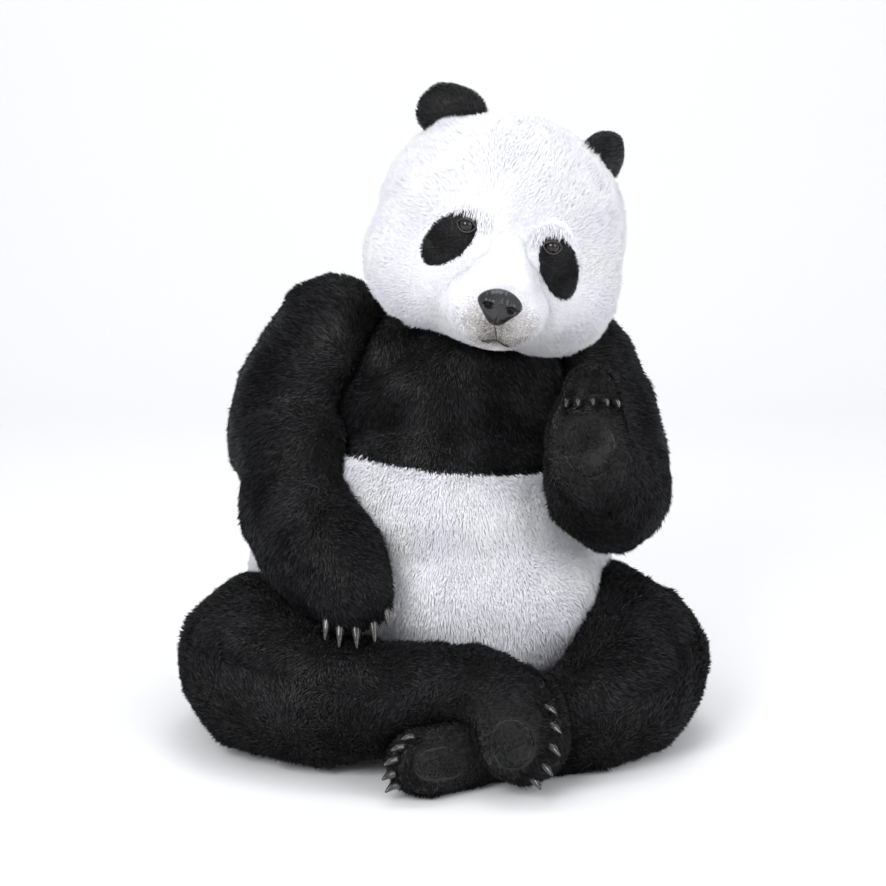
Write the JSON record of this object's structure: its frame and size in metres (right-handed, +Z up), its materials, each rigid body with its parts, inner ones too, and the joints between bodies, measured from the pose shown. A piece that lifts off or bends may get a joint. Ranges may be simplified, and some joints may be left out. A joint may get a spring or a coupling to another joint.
{
  "type": "plush panda",
  "caption": "Large seated plush panda with crossed legs, one raised paw, and a head and arms that turn on an inner frame.",
  "frame": {"origin": "on the floor, on the flat underside of the seat panel, close under the middle of the body", "axes": "+Z up, -Y the way the panda looks, +X to the panda's own left"},
  "size_m": [0.7384, 0.7697, 0.9114],
  "materials": {
    "white_fur": "long soft white pile",
    "black_fur": "long black pile with a soft sheen",
    "muzzle_fur": "short white pile, airbrushed grey-brown under the nose",
    "short_black_fur": "short black pile",
    "paw_pad": "short velvety pile",
    "stuffing": "loose polyester fibre fill",
    "base_cloth": "woven base cloth",
    "plywood": "sanded plywood",
    "claw": "dark moulded, semi-gloss",
    "eye": "polished",
    "nose": "moulded with a leathery satin skin",
    "steel": "grey powder coat"
  },
  "bodies": {
    "torso": {"back_panel": "white_fur", "belly_panel": "white_fur", "chest_yoke": "black_fur", "claw_leg_left_1": "claw", "claw_leg_left_2": "claw", "claw_leg_left_3": "claw", "claw_leg_left_4": "claw", "claw_leg_left_5": "claw", "claw_leg_right_1": "claw", "claw_leg_right_2": "claw", "claw_leg_right_3": "claw", "claw_leg_right_4": "claw", "claw_leg_right_5": "claw", "leg_left_cover": "black_fur", "leg_left_sole_pad": "paw_pad", "leg_left_stuffing": "stuffing", "leg_right_cover": "black_fur", "leg_right_sole_pad": "paw_pad", "leg_right_stuffing": "stuffing", "seat_board": "plywood", "seat_panel": "base_cloth", "shoulder_nut_left": "steel", "shoulder_nut_right": "steel", "spine_frame": "steel", "tail": "white_fur", "torso_stuffing": "stuffing"},
    "neck": {"neck_swivel": "steel"},
    "head": {"ear_left": "black_fur", "ear_right": "black_fur", "eye_left": "eye", "eye_patch_left": "short_black_fur", "eye_patch_right": "short_black_fur", "eye_right": "eye", "head_cover": "white_fur", "head_stuffing": "stuffing", "muzzle": "muzzle_fur", "nose": "nose", "skull_frame": "steel", "tilt_pin": "steel"},
    "arm_right": {"arm_right_cover": "black_fur", "arm_right_disc": "plywood", "arm_right_palm_pad": "paw_pad", "arm_right_stuffing": "stuffing", "claw_arm_right_1": "claw", "claw_arm_right_2": "claw", "claw_arm_right_3": "claw", "claw_arm_right_4": "claw", "claw_arm_right_5": "claw"},
    "arm_left": {"arm_left_cover": "black_fur", "arm_left_disc": "plywood", "arm_left_palm_pad": "paw_pad", "arm_left_stuffing": "stuffing", "claw_arm_left_1": "claw", "claw_arm_left_2": "claw", "claw_arm_left_3": "claw", "claw_arm_left_4": "claw", "claw_arm_left_5": "claw"}
  },
  "joints": [
    {"name": "head_turn", "type": "hinge", "parent": "torso", "child": "neck", "pos_m": [0.045, 0.03, 0.47], "axis": [0, 0, 1], "range_deg": [-16, 8]},
    {"name": "head_tilt", "type": "hinge", "parent": "neck", "child": "head", "pos_m": [0.045, 0.03, 0.47], "axis": [0, 1, 0], "range_deg": [-8, 2]},
    {"name": "shoulder_right", "type": "hinge", "parent": "torso", "child": "arm_right", "pos_m": [-0.184, 0.045, 0.475], "axis": [-1, 0, 0], "range_deg": [0, 40]},
    {"name": "shoulder_left", "type": "hinge", "parent": "torso", "child": "arm_left", "pos_m": [0.212, 0.045, 0.475], "axis": [-1, 0, 0], "range_deg": [-20, 5]}
  ]
}
